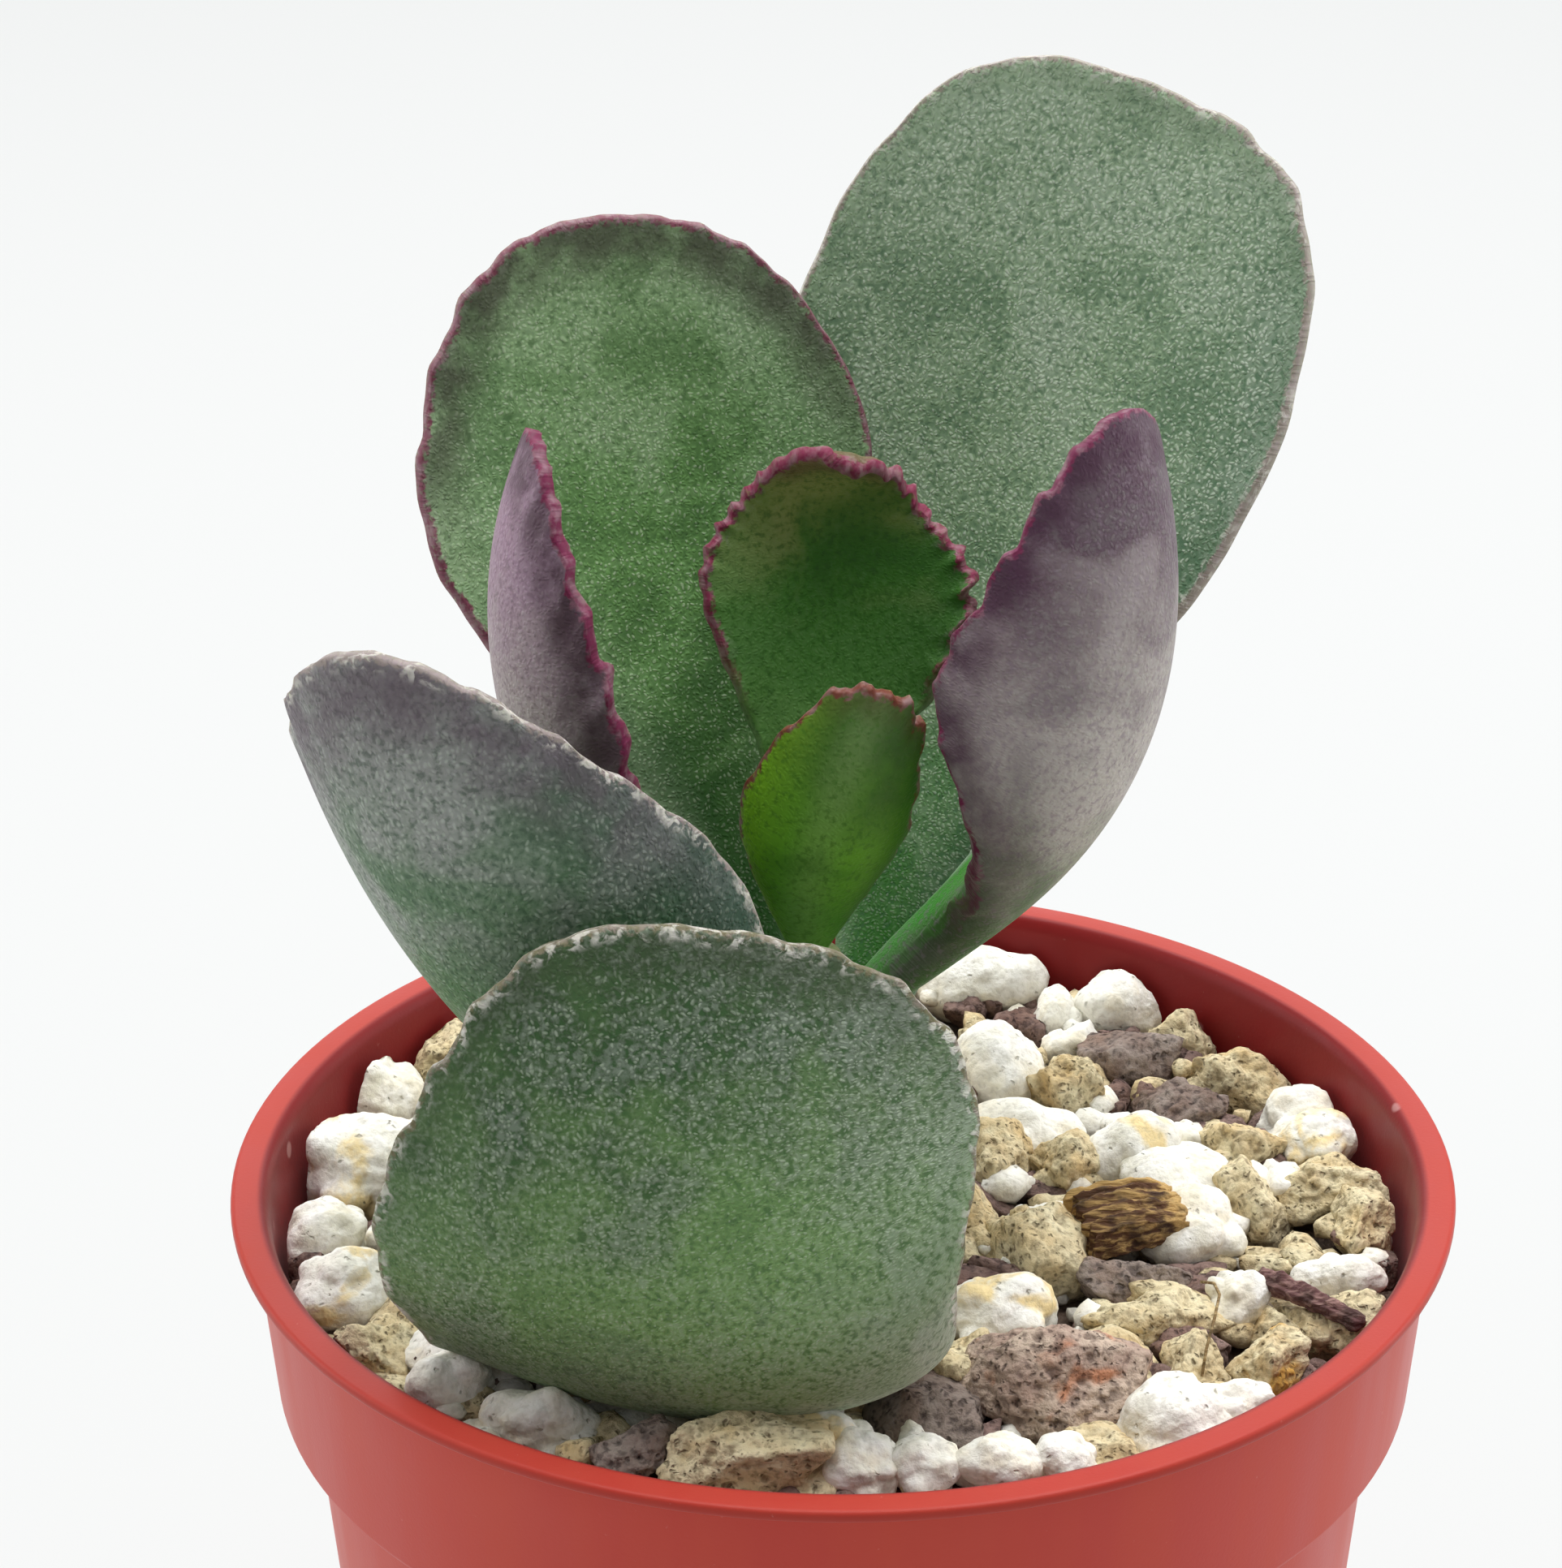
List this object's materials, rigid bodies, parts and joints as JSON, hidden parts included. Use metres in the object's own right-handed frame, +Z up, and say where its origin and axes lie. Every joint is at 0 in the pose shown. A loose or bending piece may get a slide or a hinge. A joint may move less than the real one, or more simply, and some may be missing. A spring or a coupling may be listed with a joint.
{
  "type": "potted adromischus succulent",
  "caption": "Small potted succulent with thick cupped round leaves in crossed pairs on a short stem, rooted in pumice grit in a round thin-walled plastic pot.",
  "frame": {"origin": "middle of the pot's flat base, on the surface that it stands on", "axes": "+Z up along the pot's axis, -Y towards the front leaf, +X to the right seen from the front"},
  "size_m": [0.055, 0.055, 0.095],
  "materials": {
    "pot": "moulded terracotta-red plastic, semi-matte",
    "grit": "rough white and tan pumice grains",
    "stem": "matte living stem skin",
    "leaf": "waxy speckled grey-green skin, magenta edge on young leaves",
    "lava": "rough brown lava stone",
    "bark": "dry ribbed bark"
  },
  "bodies": {
    "root": {"pot": "pot", "grit_bed": "grit", "stem": "stem", "leaf_back_right": "leaf", "leaf_back_left": "leaf", "leaf_centre_back": "leaf", "leaf_centre_front": "leaf", "leaf_left": "leaf", "leaf_right": "leaf", "leaf_front_left": "leaf", "leaf_front": "leaf", "lava_stone": "lava", "bark_chip": "bark", "twig": "bark"}
  },
  "joints": []
}
